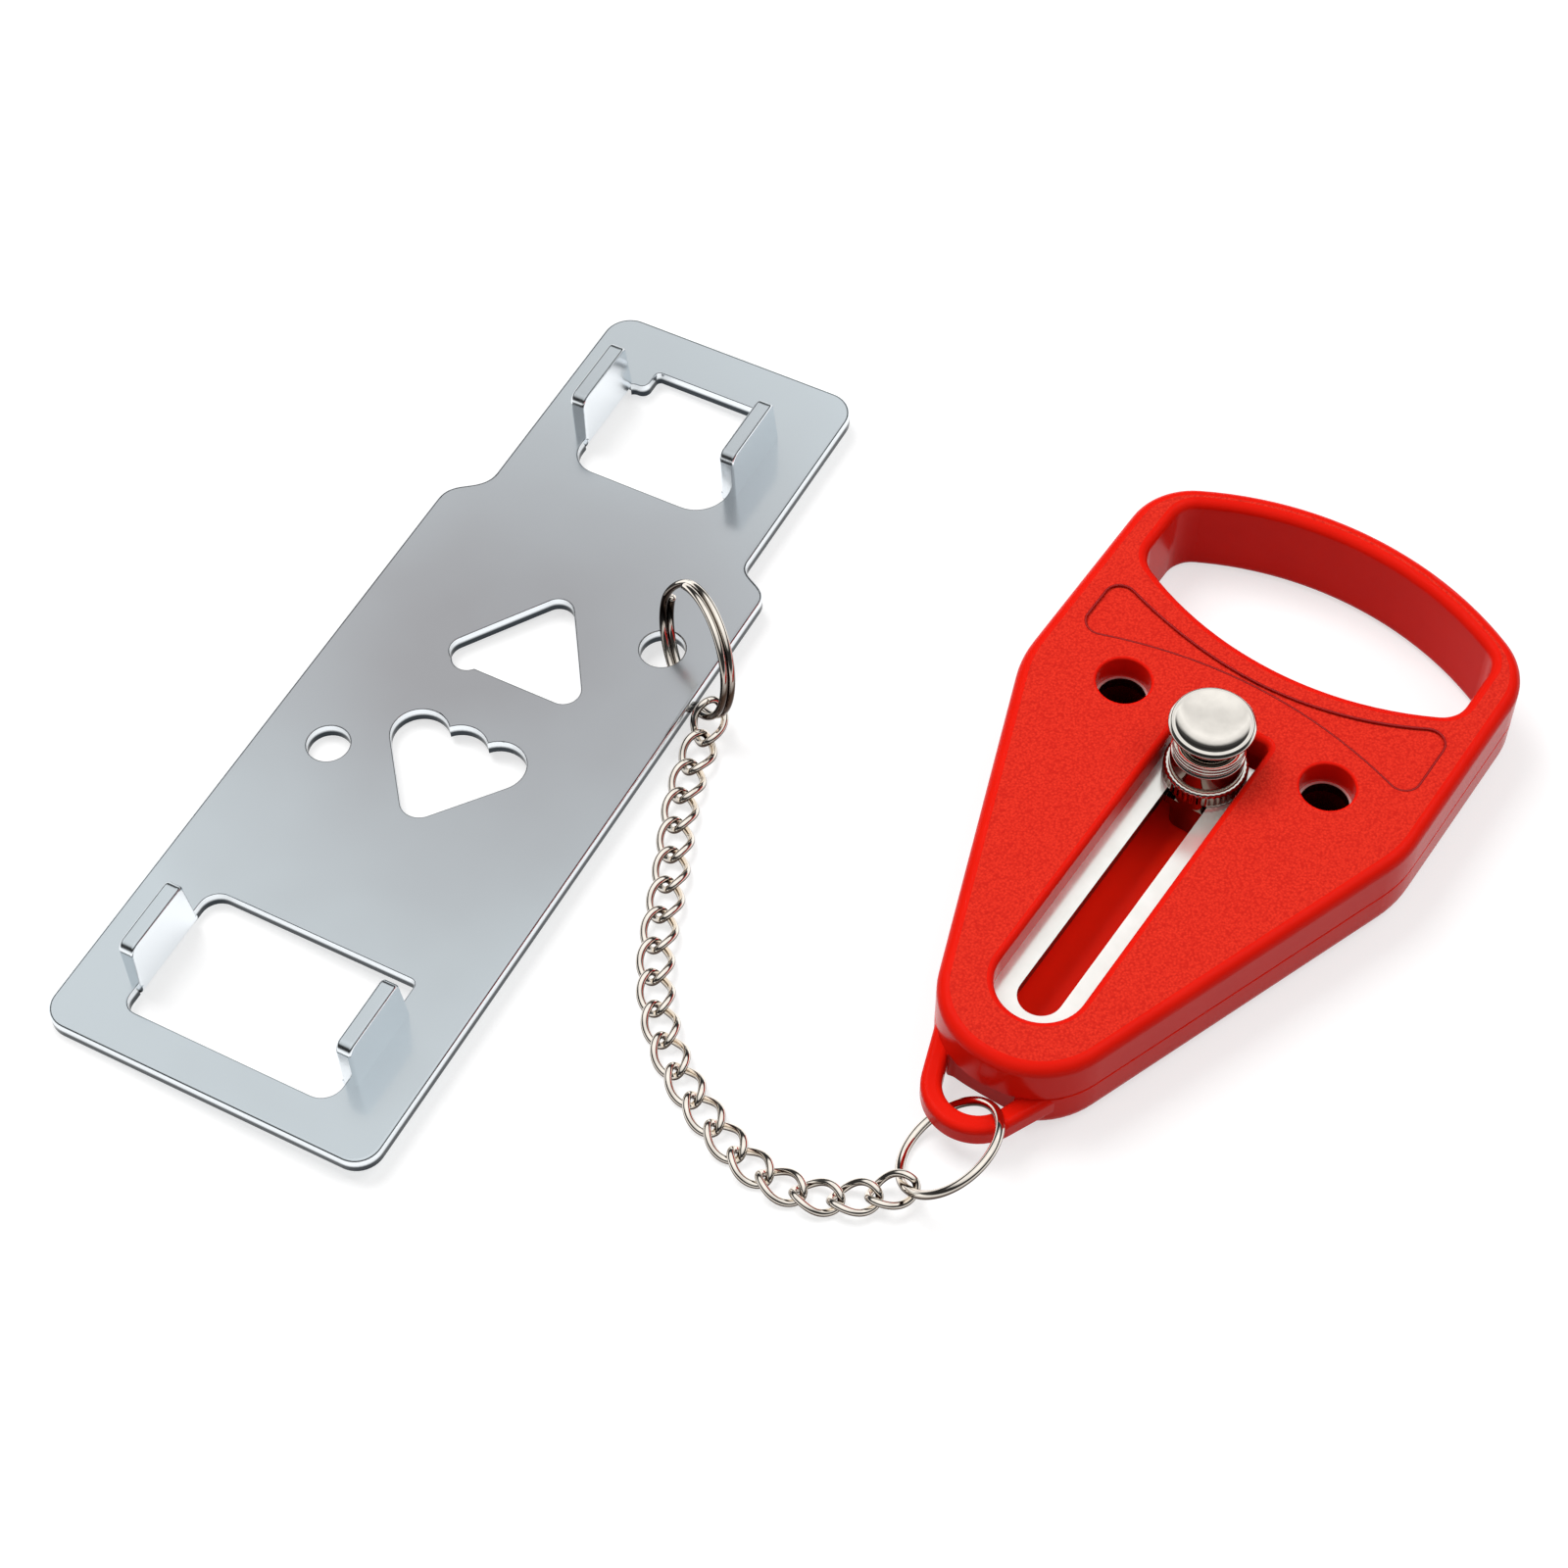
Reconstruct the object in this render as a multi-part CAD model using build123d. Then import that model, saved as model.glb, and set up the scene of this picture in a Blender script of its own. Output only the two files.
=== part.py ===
from build123d import *
import math
import os

# A portable door lock lying on a table: a claw plate that hooks into a strike plate,
# a two-shell handle with a sliding clamp knob, and a twisted-link chain joining them.
# Frame: +Z up, +Y along the handle towards its finger hole, +X to the right.
# The origin lies on the handle's flat back, midway between its two round holes.

MM = 1.0
CUT = 1.0 * MM
TOUCH = 0.001 * MM

# Handle shells
handle_half_width = 25.4 * MM
handle_nose_half_width = 7.7 * MM
handle_nose_y = -51.6 * MM
handle_shoulder_y = -3.1 * MM
handle_crown_y = 35.4 * MM
crown_share = 1.693
handle_corner_r = 9.0 * MM
handle_shoulder_r = 15.0 * MM
nose_round_share = 0.95
handle_thickness = 12.0 * MM
parting_z = 6.0 * MM
handle_edge_r = 1.4 * MM
back_edge_r = 2.2 * MM
seam_chamfer = 0.2 * MM

# Finger hole, its upper edge concentric with the handle's crown
rim_top = 2.8 * MM
rim_side = 4.4 * MM
finger_sill_y = 11.4 * MM
sill_share = 1.952
finger_corner_r = 3.6 * MM
finger_edge_r = 1.1 * MM

# Slot plate held between the shells, and the round holes that show it
slot_plate_inset = 5.0 * MM
slot_plate_top_y = 6.0 * MM
slot_plate_z = 7.0 * MM
slot_plate_thickness = 1.5 * MM
slot_half_width = 2.6 * MM
slot_end_y = -39.8 * MM
slot_mouth_y = -0.3 * MM
mouth_depth = 3.5 * MM
pocket_gap = 0.1 * MM
round_hole_share = 0.5276
round_hole_r = 2.9 * MM
shell_hole_r = 3.2 * MM
shell_hole_edge_r = 0.3 * MM
round_hole_floor_z = 2.0 * MM

# Recess in the top shell that the knob travels along
recess_half_width = 5.25 * MM
recess_top_y = 1.5 * MM
recess_corner_r = 0.9 * MM
recess_edge_r = 0.8 * MM
trough_half_width = 4.4 * MM
trough_floor_z = 1.75 * MM

# Shallow waisted panel between the recess and the finger hole
panel_half_width = 21.9 * MM
panel_waist_y = 8.0 * MM
panel_waist = 0.7 * MM
panel_depth = 0.3 * MM
panel_left_rise = 4.7 * MM
panel_right_rise = 7.0 * MM
panel_drop = 4.5 * MM
panel_end_r = 2.0 * MM
panel_edge_r = 0.15 * MM

# Chain lug on the bottom shell, a little left of the middle, with a hole that runs back under the nose
lug_x = -0.6 * MM
lug_y = -51.6 * MM
lug_inner_r = 3.85 * MM
lug_width = 2.4 * MM
lug_height = 3.2 * MM
lug_root_y = -42.0 * MM
lug_root_half_width = 10.6 * MM
lug_edge_r = 0.8 * MM
lug_hole_root_y = -49.6 * MM
lug_hole_root_half_width = 4.9 * MM
lug_hole_corner_r = 0.7 * MM

# Slider block and clamp knob
slider_width = 4.9 * MM
slider_length = 7.8 * MM
slider_corner_r = 1.6 * MM
slider_bottom_z = 2.0 * MM
slider_rest_y = -4.0 * MM
slider_flange_width = 8.2 * MM
slider_flange_height = 1.2 * MM
slider_lift_gap = 0.2 * MM
slider_top_gap = 0.1 * MM
tail_r = 1.5 * MM
tail_length = 4.0 * MM
shank_r = 1.9 * MM
turn_gap = 0.1 * MM
knurl_r = 4.9 * MM
knurl_height = 2.3 * MM
knurl_chamfer = 0.3 * MM
knurl_depth = 0.2 * MM
knurl_teeth = 44
barrel_r = 4.3 * MM
barrel_height = 2.8 * MM
barrel_edge = 0.25 * MM
spigot_r = 3.2 * MM
collar_r = 4.15 * MM
collar_height = 1.5 * MM
groove_width = 0.2 * MM
groove_depth = 0.15 * MM
groove_pitch = 0.55 * MM
neck_r = 3.0 * MM
neck_height = 1.2 * MM
head_cone_height = 1.6 * MM
head_r = 5.0 * MM
head_lip = 0.3 * MM
head_rim_height = 0.4 * MM
head_rim_r = 4.65 * MM
dish_rim_r = 4.25 * MM
dish_floor_r = 3.2 * MM
dish_depth = 0.6 * MM

# Ring through the lug
ring_r = 6.4 * MM
ring_wire = 1.1 * MM
ring_lean_angle = 38.0
ring_heading = 188.6
ring_grip_y = -53.1 * MM
ring_grip_z = 4.6 * MM
ring_link_angle = 326.0

# Chain of twisted links, headings counted from the handle ring to the split ring
link_wire = 0.9 * MM
link_length = 5.4 * MM
link_width = 3.6 * MM
link_twist = 45.0
link_pitch = 4.16 * MM
link_headings = [226, 217, 202, 185, 170, 161, 157, 152, 144, 136,
                 129, 122, 116, 115, 117, 119, 116, 110, 105, 105]
ring_play = 0.28 * MM
first_link_roll = -7.0
second_slope_share = 0.7
last_link_slope = 28.0
next_to_last_slope = 5.0

# Split ring of two coils
split_r = 8.0 * MM
split_wire = 0.9 * MM
coil_gap = 0.05 * MM
split_lean_angle = 80.0
split_heading = 240.0
split_play = 1.06 * MM
split_jog_turn = 50.0
split_jog_angle = 150.0

# Wire section and stations of rings and links
wire_sides = 8
link_stations = 16
ring_stations = 40

# Claw plate, with u along it from the wide end and v across it
plate_length = 122.0 * MM
plate_width = 43.5 * MM
plate_neck_width = 34.8 * MM
plate_thickness = 2.0 * MM
plate_edge_r = 0.4 * MM
plate_heading = 5.325
plate_tilt = 2.5
wide_corner_r = 3.2 * MM
narrow_corner_r = 3.5 * MM
left_step_share = 0.6951
left_step_length = 7.0 * MM
right_step_share = 0.7221
right_step_length = 5.4 * MM

# Openings of the claw plate, the narrow one counted from the narrow end
opening_edge_r = 0.2 * MM
wide_gap_u = 5.3 * MM
wide_gap_length = 18.0 * MM
wide_gap_v = -0.1 * MM
wide_gap_half_width = 13.9 * MM
wide_gap_near_left_r = 1.8 * MM
wide_gap_near_right_r = 2.6 * MM
wide_gap_far_left_r = 2.4 * MM
wide_gap_far_right_r = 0.9 * MM
narrow_gap_to_end = 6.75 * MM
narrow_gap_length = 18.15 * MM
narrow_gap_v = -0.15 * MM
narrow_gap_half_width = 10.15 * MM
narrow_gap_near_left_r = 3.4 * MM
narrow_gap_near_right_r = 4.2 * MM
narrow_gap_far_r = 3.4 * MM
tab_width = 2.5 * MM
tab_length = 3.1 * MM
tab_corner_share = 0.44
tab_root_share = 0.5
tab_foot_r = 0.6 * MM

# Claws bent up at the sides of both openings
claw_rise = 7.1 * MM
claw_bend_r = 1.8 * MM
claw_edge_r = 0.35 * MM
claw_near_r = 1.3 * MM
claw_far_slant = 0.8 * MM
claw_far_r = 1.0 * MM
wide_claw_from_gap = 3.2 * MM
wide_claw_length = 10.9 * MM
wide_claw_half_gap = 13.3 * MM
wide_claw_shift = 0.0 * MM
narrow_claw_from_gap = 4.2 * MM
narrow_claw_length = 11.2 * MM
narrow_claw_half_gap = 9.5 * MM
narrow_claw_shift = -0.35 * MM

# Holes of the claw plate
spare_hole_to_base = 9.7 * MM
spare_hole_v = -13.25 * MM
spare_hole_r = 2.6 * MM
lanyard_hole_share = 0.6295
lanyard_hole_v = 14.8 * MM
lanyard_hole_r = 2.75 * MM
ring_in_hole_u = 0.93 * MM
ring_in_hole_v = 0.54 * MM

# Upper triangle, its base towards the wide end
upper_base_share = 0.5254
upper_length = 15.4 * MM
upper_half_width = 10.6 * MM
upper_centre_v = 0.7 * MM
upper_r = 2.0 * MM
bump_r = 1.9 * MM
bump_out = 0.8 * MM
bump_v = -5.3 * MM

# Lower triangle, its apex towards the wide end and three lobes for a base
lower_to_upper = 7.6 * MM
lower_length = 15.6 * MM
lower_half_width = 12.6 * MM
lower_centre_v = 0.85 * MM
lower_r = 2.4 * MM
lobe_r = 3.5 * MM

# Values that follow from the ones above
handle_crown_r = handle_half_width * crown_share
finger_half_width = handle_half_width - rim_side
finger_sill_r = finger_half_width * sill_share
round_hole_x = handle_half_width * round_hole_share
slot_plate_top_z = slot_plate_z + slot_plate_thickness
lug_bottom_z = parting_z - lug_height
slider_top_z = slot_plate_top_z - slider_top_gap
slider_flange_z = slot_plate_z - slider_lift_gap - slider_flange_height
knurl_z = slot_plate_top_z + slider_lift_gap
barrel_z = knurl_z + knurl_height
collar_z = barrel_z + barrel_height
neck_z = collar_z + collar_height + turn_gap
cone_z = neck_z + neck_height
lip_z = cone_z + head_cone_height
head_z = lip_z + head_lip + head_rim_height
link_count = len(link_headings)
left_step_u = plate_length * left_step_share
right_step_u = plate_length * right_step_share
narrow_gap_u = plate_length - narrow_gap_to_end - narrow_gap_length
wide_claw_u = wide_gap_u + wide_claw_from_gap
narrow_claw_u = narrow_gap_u + narrow_claw_from_gap
lanyard_hole_u = plate_length * lanyard_hole_share
upper_base_u = plate_length * upper_base_share
upper_apex_u = upper_base_u + upper_length
lower_base_u = upper_base_u - lower_to_upper
lower_apex_u = lower_base_u - lower_length
lobe_spread = lower_half_width - lobe_r / math.tan(math.atan2(lower_length, lower_half_width) / 2)
spare_hole_u = lower_base_u - spare_hole_to_base


def direction(heading, slope=0.0):
    """Unit vector at a heading in the table plane, raised by a slope, in degrees."""
    level = math.cos(math.radians(slope))
    return Vector(level * math.cos(math.radians(heading)), level * math.sin(math.radians(heading)),
                  math.sin(math.radians(slope)))


def rounded(face, radius, at):
    """Fillet the corners of a face that the test named at picks out."""
    return fillet([corner for corner in face.vertices() if at(corner)], radius)


def corners_rounded(face, corners):
    """Fillet each listed corner of a face with its own radius."""
    for x, y, radius in corners:
        face = rounded(face, radius, lambda v: abs(v.X - x) < TOUCH and abs(v.Y - y) < TOUCH)
    return face


def edges_at(solid, height):
    """Edges of a solid that lie level at a height."""
    return [edge for edge in solid.edges()
            if abs(edge.bounding_box().min.Z - height) < TOUCH
            and abs(edge.bounding_box().max.Z - height) < TOUCH]


def crown_arc(inset, half_width):
    """Upper edge of the handle or of its finger hole, as an arc between both sides."""
    radius = handle_crown_r - inset
    drop = radius - math.sqrt(radius**2 - half_width**2)
    top = handle_crown_y - inset
    return ThreePointArc((-half_width, top - drop), (0, top), (half_width, top - drop))


def handle_outline():
    """Plan of the handle: nose, tapered flanks, shoulders and an arched crown."""
    crown = crown_arc(0, handle_half_width)
    flank = Polyline(crown @ 1, (handle_half_width, handle_shoulder_y),
                     (handle_nose_half_width, handle_nose_y),
                     (-handle_nose_half_width, handle_nose_y),
                     (-handle_half_width, handle_shoulder_y), crown @ 0)
    plan = make_face([crown, flank])
    spread = math.atan2(handle_half_width - handle_nose_half_width, handle_shoulder_y - handle_nose_y)
    full_round_r = handle_nose_half_width * math.tan(math.pi / 4 + spread / 2)
    plan = rounded(plan, full_round_r * nose_round_share, lambda v: abs(v.Y - handle_nose_y) < TOUCH)
    plan = rounded(plan, handle_shoulder_r, lambda v: abs(v.Y - handle_shoulder_y) < seam_chamfer)
    return rounded(plan, handle_corner_r, lambda v: abs(v.Y - (crown @ 1).Y) < seam_chamfer)


def finger_hole():
    """Plan of the finger hole: an arched top, a sagging sill and rounded corners."""
    top = crown_arc(rim_top, finger_half_width)
    lift = finger_sill_r - math.sqrt(finger_sill_r**2 - finger_half_width**2)
    sill = ThreePointArc((-finger_half_width, finger_sill_y + lift), (0, finger_sill_y),
                         (finger_half_width, finger_sill_y + lift))
    plan = make_face([top, Line(top @ 1, sill @ 1), sill, Line(sill @ 0, top @ 0)])
    return fillet(plan.vertices(), finger_corner_r)


def channel(half_width, end_y, top_y, corner_r=0.0):
    """Plan of a channel along Y: a half round at its lower end, square at its upper one."""
    plan = Pos(0, end_y) * Circle(half_width)
    plan += Pos(0, (end_y + top_y) / 2) * Rectangle(2 * half_width, top_y - end_y)
    if corner_r:
        plan = rounded(plan, corner_r, lambda v: abs(v.Y - top_y) < seam_chamfer)
    return plan


def panel():
    """Plan of the shallow panel on the top shell, narrow at its waist and rounded at both ends."""
    top, low = panel_waist_y + panel_waist / 2, panel_waist_y - panel_waist / 2
    stations = [-1, -0.5, 0, 0.5, 1]
    rises = [panel_left_rise, panel_left_rise, 0, panel_right_rise, panel_right_rise]
    upper = Spline([(x * panel_half_width, top + x**2 * rise) for x, rise in zip(stations, rises)])
    lower = Spline([(-x * panel_half_width, low - x**2 * panel_drop) for x in stations])
    plan = make_face([upper, Line(upper @ 1, lower @ 0), lower, Line(lower @ 1, upper @ 0)])
    return fillet(plan.vertices(), panel_end_r)


def slot_plate_outline(gap=0.0):
    """Plan of the slot plate, or with a gap of the pocket that holds it."""
    plan = offset(handle_outline(), -(slot_plate_inset - gap))
    top = slot_plate_top_y + gap
    height = top - handle_nose_y
    return plan & Pos(0, top - height / 2) * Rectangle(2 * handle_half_width, height)


def both_sides(shape, x, y=0.0):
    """The shape twice, at both sides of the middle plane."""
    return Pos(x, y) * shape + Pos(-x, y) * shape


def handle_top_shell():
    """Upper half of the handle, pocketed for the slot plate and cut by the recess."""
    height = handle_thickness - parting_z
    shell = Pos(0, 0, parting_z) * extrude(handle_outline() - finger_hole(), height)
    face = shell.faces().sort_by(Axis.Z)[-1]
    shell = fillet(face.outer_wire().edges(), handle_edge_r)
    face = shell.faces().sort_by(Axis.Z)[-1]
    shell = fillet(face.inner_wires()[0].edges(), finger_edge_r)
    seam = shell.faces().sort_by(Axis.Z)[0].outer_wire().edges()
    shell = chamfer(seam, seam_chamfer)
    recess = channel(recess_half_width, slot_end_y, recess_top_y, recess_corner_r)
    shell -= Pos(0, 0, parting_z) * extrude(recess, height + CUT)
    shell -= Pos(0, 0, parting_z) * extrude(both_sides(Circle(shell_hole_r), round_hole_x), height + CUT)
    rims = edges_at(shell, handle_thickness)
    recess_rim = [e for e in rims if abs(e.center().X) < recess_half_width + CUT
                  and e.center().Y < recess_top_y + CUT
                  and e.bounding_box().max.X < round_hole_x - shell_hole_r]
    shell = fillet(recess_rim, recess_edge_r)
    hole_rims = [e for e in edges_at(shell, handle_thickness)
                 if e.geom_type == GeomType.CIRCLE and abs(e.radius - shell_hole_r) < seam_chamfer]
    shell = fillet(hole_rims, shell_hole_edge_r)
    pocket_depth = slot_plate_top_z - parting_z
    shell -= Pos(0, 0, parting_z) * extrude(slot_plate_outline(pocket_gap), pocket_depth)
    shell -= Pos(0, 0, handle_thickness - panel_depth) * extrude(panel(), panel_depth + CUT)
    face = shell.faces().sort_by(Axis.Z)[-1]
    panel_rim = [e for wire in face.inner_wires() for e in wire.edges()
                 if wire.bounding_box().size.X > 2 * round_hole_x
                 and wire.bounding_box().center().Y < finger_sill_y]
    return fillet(panel_rim, panel_edge_r)


def lug_hole():
    """Plan of the lug's hole: round at its far end, with a straight edge under the nose."""
    root = Polyline((lug_x - lug_hole_root_half_width, lug_hole_root_y),
                    (lug_x + lug_hole_root_half_width, lug_hole_root_y))
    plan = make_hull((Pos(lug_x, lug_y) * Circle(lug_inner_r)).edges() + root.edges())
    reach = lug_hole_root_y - lug_y + lug_inner_r
    plan &= Pos(lug_x, lug_hole_root_y - reach / 2) * Rectangle(2 * lug_hole_root_half_width, reach)
    return rounded(plan, lug_hole_corner_r, lambda v: abs(v.Y - lug_hole_root_y) < TOUCH)


def lug():
    """Loop on the nose that the chain's ring hangs in."""
    root = Polyline((-lug_root_half_width, lug_root_y), (lug_root_half_width, lug_root_y))
    loop = Pos(lug_x, lug_y) * Circle(lug_inner_r + lug_width)
    plan = make_hull(loop.edges() + root.edges()) - lug_hole()
    loop_solid = Pos(0, 0, lug_bottom_z) * extrude(plan, lug_height)
    hoops = [e for e in loop_solid.edges() if e.bounding_box().size.Z < seam_chamfer]
    return fillet([e for e in hoops if e.bounding_box().min.Y < lug_root_y - seam_chamfer], lug_edge_r)


def handle_bottom_shell():
    """Lower half of the handle with the lug, the slot plate's seat and the trough."""
    shell = extrude(handle_outline() - finger_hole(), parting_z)
    face = shell.faces().sort_by(Axis.Z)[0]
    shell = fillet(face.outer_wire().edges(), back_edge_r)
    face = shell.faces().sort_by(Axis.Z)[0]
    shell = fillet(face.inner_wires()[0].edges(), finger_edge_r)
    seam = shell.faces().sort_by(Axis.Z)[-1].outer_wire().edges()
    shell = chamfer(seam, seam_chamfer)
    shell -= extrude(lug_hole(), parting_z)
    shell += lug()
    shell += Pos(0, 0, parting_z) * extrude(slot_plate_outline(), slot_plate_z - parting_z)
    trough = channel(trough_half_width, slot_end_y, slot_mouth_y + mouth_depth)
    shell -= Pos(0, 0, trough_floor_z) * extrude(trough, handle_thickness)
    wells = both_sides(Circle(round_hole_r), round_hole_x)
    shell -= Pos(0, 0, round_hole_floor_z) * extrude(wells, handle_thickness)
    return shell


def slot_plate():
    """Steel plate between the shells, with the slider's slot and its wide mouth."""
    plan = slot_plate_outline()
    plan -= channel(slot_half_width, slot_end_y, slot_mouth_y + CUT)
    plan -= Pos(0, slot_mouth_y + mouth_depth / 2) * Rectangle(2 * recess_half_width, mouth_depth)
    plan -= both_sides(Circle(round_hole_r), round_hole_x)
    return Pos(0, 0, slot_plate_z) * extrude(plan, slot_plate_thickness)


def slider_block():
    """Block that runs in the slot, with a flange that keeps it under the slot plate."""
    block = RectangleRounded(slider_width, slider_length, slider_corner_r)
    flange = RectangleRounded(slider_flange_width, slider_length, slider_corner_r)
    solid = Pos(0, 0, slider_bottom_z) * extrude(block, slider_top_z - slider_bottom_z)
    solid += Pos(0, 0, slider_flange_z) * extrude(flange, slider_flange_height)
    hole_depth = tail_length + slider_top_gap
    solid -= Pos(0, 0, slider_top_z - hole_depth) * extrude(Circle(tail_r), hole_depth + CUT)
    return Pos(0, slider_rest_y) * solid


def turned(points):
    """Solid of revolution about the knob's axis from a list of radius and height."""
    profile = make_face(Polyline([(radius, 0, height) for radius, height in points], close=True))
    return Pos(0, slider_rest_y) * revolve(profile, Axis.Z)


def knob_stud():
    """Stud fixed in the slider block, ending in a dished head on a cone."""
    shoulder_z = slider_top_z
    return turned([(0, shoulder_z - tail_length), (tail_r, shoulder_z - tail_length),
                   (tail_r, shoulder_z), (shank_r, shoulder_z), (shank_r, neck_z), (neck_r, neck_z),
                   (neck_r, cone_z), (head_r, lip_z), (head_r, lip_z + head_lip), (head_rim_r, head_z),
                   (dish_rim_r, head_z), (dish_floor_r, head_z - dish_depth),
                   (0, head_z - dish_depth)])


def clamp_barrel():
    """Barrel that turns on the stud, with a grooved collar above and a spigot below."""
    bore = shank_r + turn_gap
    top = collar_z + collar_height
    profile = [(bore, knurl_z), (spigot_r, knurl_z), (spigot_r, barrel_z),
               (barrel_r - barrel_edge, barrel_z), (barrel_r, barrel_z + barrel_edge),
               (barrel_r, collar_z - barrel_edge), (barrel_r - barrel_edge, collar_z)]
    for index in (0, 1):
        low = collar_z + groove_width + index * groove_pitch
        profile += [(collar_r, low), (collar_r - groove_depth, low + groove_width / 2),
                    (collar_r, low + groove_width)]
    profile += [(collar_r, top), (bore, top)]
    return turned(profile)


def knurled_ring():
    """Knurled ring pressed on the barrel's spigot, gripped to turn the clamp."""
    body = turned([(spigot_r, knurl_z), (knurl_r - knurl_chamfer, knurl_z),
                   (knurl_r, knurl_z + knurl_chamfer), (knurl_r, barrel_z - knurl_chamfer),
                   (knurl_r - knurl_chamfer, barrel_z), (spigot_r, barrel_z)])
    crests = []
    for tooth in range(2 * knurl_teeth):
        radius = knurl_r - (tooth % 2) * knurl_depth
        turn = math.radians(tooth * 180 / knurl_teeth)
        crests.append((radius * math.cos(turn), radius * math.sin(turn)))
    star = make_face(Polyline(crests, close=True))
    return body & Pos(0, slider_rest_y, knurl_z) * extrude(star, knurl_height)


class Hoop:
    """A leaning circle that stands on the table: its axes, centre and points on it."""

    def __init__(self, radius, half_band, lean, heading):
        self.radius = radius
        tilt = math.radians(lean)
        self.normal = direction(heading) * math.sin(tilt) + Vector(0, 0, math.cos(tilt))
        self.level = direction(heading + 90)
        self.rise = self.normal.cross(self.level)
        self.height = radius * self.rise.Z + half_band
        self.centre = Vector(0, 0, self.height)

    def angle_at(self, height, side):
        """Angle of the point at a height, on the side of +1 or -1 along the level axis."""
        angle = math.degrees(math.asin((height - self.height) / (self.radius * self.rise.Z)))
        return angle if side > 0 else 180 - angle

    def point(self, angle, radius_offset=0.0, along=0.0):
        """Point of the circle at an angle, moved outwards or along the hoop's axis."""
        turn = math.radians(angle)
        spoke = self.level * math.cos(turn) + self.rise * math.sin(turn)
        return self.centre + spoke * (self.radius + radius_offset) + self.normal * along

    def stand_on(self, point, angle):
        """Move the hoop level so that its point at an angle lies over the given one."""
        shift = point - self.point(angle)
        self.centre = self.centre + Vector(shift.X, shift.Y, 0)


def wire_solid(centres, spokes, axes, wire, closed=True):
    """Solid of bent wire with flat facets, from its centre line and two directions across it."""
    rings = []
    for centre, spoke, axis in zip(centres, spokes, axes):
        rings.append([centre + spoke * (math.cos(turn) * wire / 2) + axis * (math.sin(turn) * wire / 2)
                      for turn in [2 * math.pi * side / wire_sides for side in range(wire_sides)]])
    faces = []
    for index in range(len(rings) if closed else len(rings) - 1):
        here, after = rings[index], rings[(index + 1) % len(rings)]
        for side in range(wire_sides):
            across = (side + 1) % wire_sides
            faces.append(Face(Wire.make_polygon([here[side], after[side], after[across]])))
            faces.append(Face(Wire.make_polygon([here[side], after[across], here[across]])))
    if not closed:
        faces.append(Face(Wire.make_polygon(rings[0])))
        faces.append(Face(Wire.make_polygon(rings[-1])))
    return Solid(Shell(faces))


def link_point(turn, grow=0.0):
    """Point of a link's centre line: an oval twisted along its length."""
    half = link_width / 2 + grow
    lean = math.radians(link_twist) * math.cos(turn)
    return Vector((link_length / 2 + grow) * math.cos(turn), half * math.sin(turn) * math.cos(lean),
                  half * math.sin(turn) * math.sin(lean))


def chain_link():
    """One twisted link at the origin, long along X."""
    centres, spokes, axes = [], [], []
    for station in range(link_stations):
        turn = 2 * math.pi * station / link_stations
        step = math.pi / link_stations
        tangent = (link_point(turn + step) - link_point(turn - step)).normalized()
        outward = link_point(turn, link_wire) - link_point(turn)
        spoke = (outward - tangent * outward.dot(tangent)).normalized()
        centres.append(link_point(turn))
        spokes.append(spoke)
        axes.append(tangent.cross(spoke))
    return wire_solid(centres, spokes, axes, link_wire)


def link_rest_height():
    """Height of a lying link's middle above the table."""
    turns = [math.pi * step / link_stations / 2 for step in range(link_stations)]
    return max(link_point(turn).Z for turn in turns) + link_wire / 2


def place_link(centre, heading, slope, roll):
    """A link moved to its centre, turned to its heading, slope and roll."""
    plane = Plane(origin=centre, x_dir=direction(heading, slope),
                  z_dir=direction(heading, slope).cross(direction(heading + 90)))
    return plane.location * Rot(roll, 0, 0) * chain_link()


def handle_ring_hoop():
    """The ring through the lug, leaning on the table."""
    hoop = Hoop(ring_r, ring_wire / 2, ring_lean_angle, ring_heading)
    hoop.stand_on(Vector(0, ring_grip_y, ring_grip_z), hoop.angle_at(ring_grip_z, -1))
    return hoop


def chain_course(hoop):
    """Centres, slopes and rolls of the links from the handle's ring to the split ring."""
    inner_half = link_length / 2 - link_wire / 2
    seat = inner_half - ring_wire / 2 - ring_play
    start = hoop.point(ring_link_angle)
    fall = start.Z - link_rest_height()
    run = seat + link_pitch / 2 + link_pitch * second_slope_share
    first_slope = -math.degrees(math.asin(fall / run))
    slopes = [0.0] * link_count
    slopes[0] = first_slope
    slopes[1] = -math.degrees(math.asin(second_slope_share * fall / run))
    slopes[-2] = next_to_last_slope
    slopes[-1] = last_link_slope
    rolls = [0.0] * link_count
    rolls[0] = first_link_roll
    centres = [start + direction(link_headings[0], first_slope) * seat]
    for index in range(1, link_count):
        before = direction(link_headings[index - 1], slopes[index - 1])
        after = direction(link_headings[index], slopes[index])
        centres.append(centres[-1] + (before + after) * (link_pitch / 2))
    return centres, slopes, rolls


def split_ring_hoop(last_centre):
    """The split ring, standing where the last link goes round its two coils."""
    coil_step = split_wire + coil_gap
    half_band = split_wire / 2 + coil_step / 2 * math.cos(math.radians(split_lean_angle))
    hoop = Hoop(split_r, half_band, split_lean_angle, split_heading)
    reach = link_length / 2 - link_wire / 2 - split_wire / 2 - split_play
    grip = last_centre + direction(link_headings[-1], last_link_slope) * reach
    hoop.stand_on(grip, hoop.angle_at(grip.Z, 1))
    return hoop


def ring_solid(hoop, wire):
    """A closed wire ring on a hoop."""
    angles = [360 * station / ring_stations for station in range(ring_stations)]
    centres = [hoop.point(angle) for angle in angles]
    spokes = [(hoop.point(angle, wire) - hoop.point(angle)).normalized() for angle in angles]
    return wire_solid(centres, spokes, [hoop.normal] * ring_stations, wire)


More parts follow.
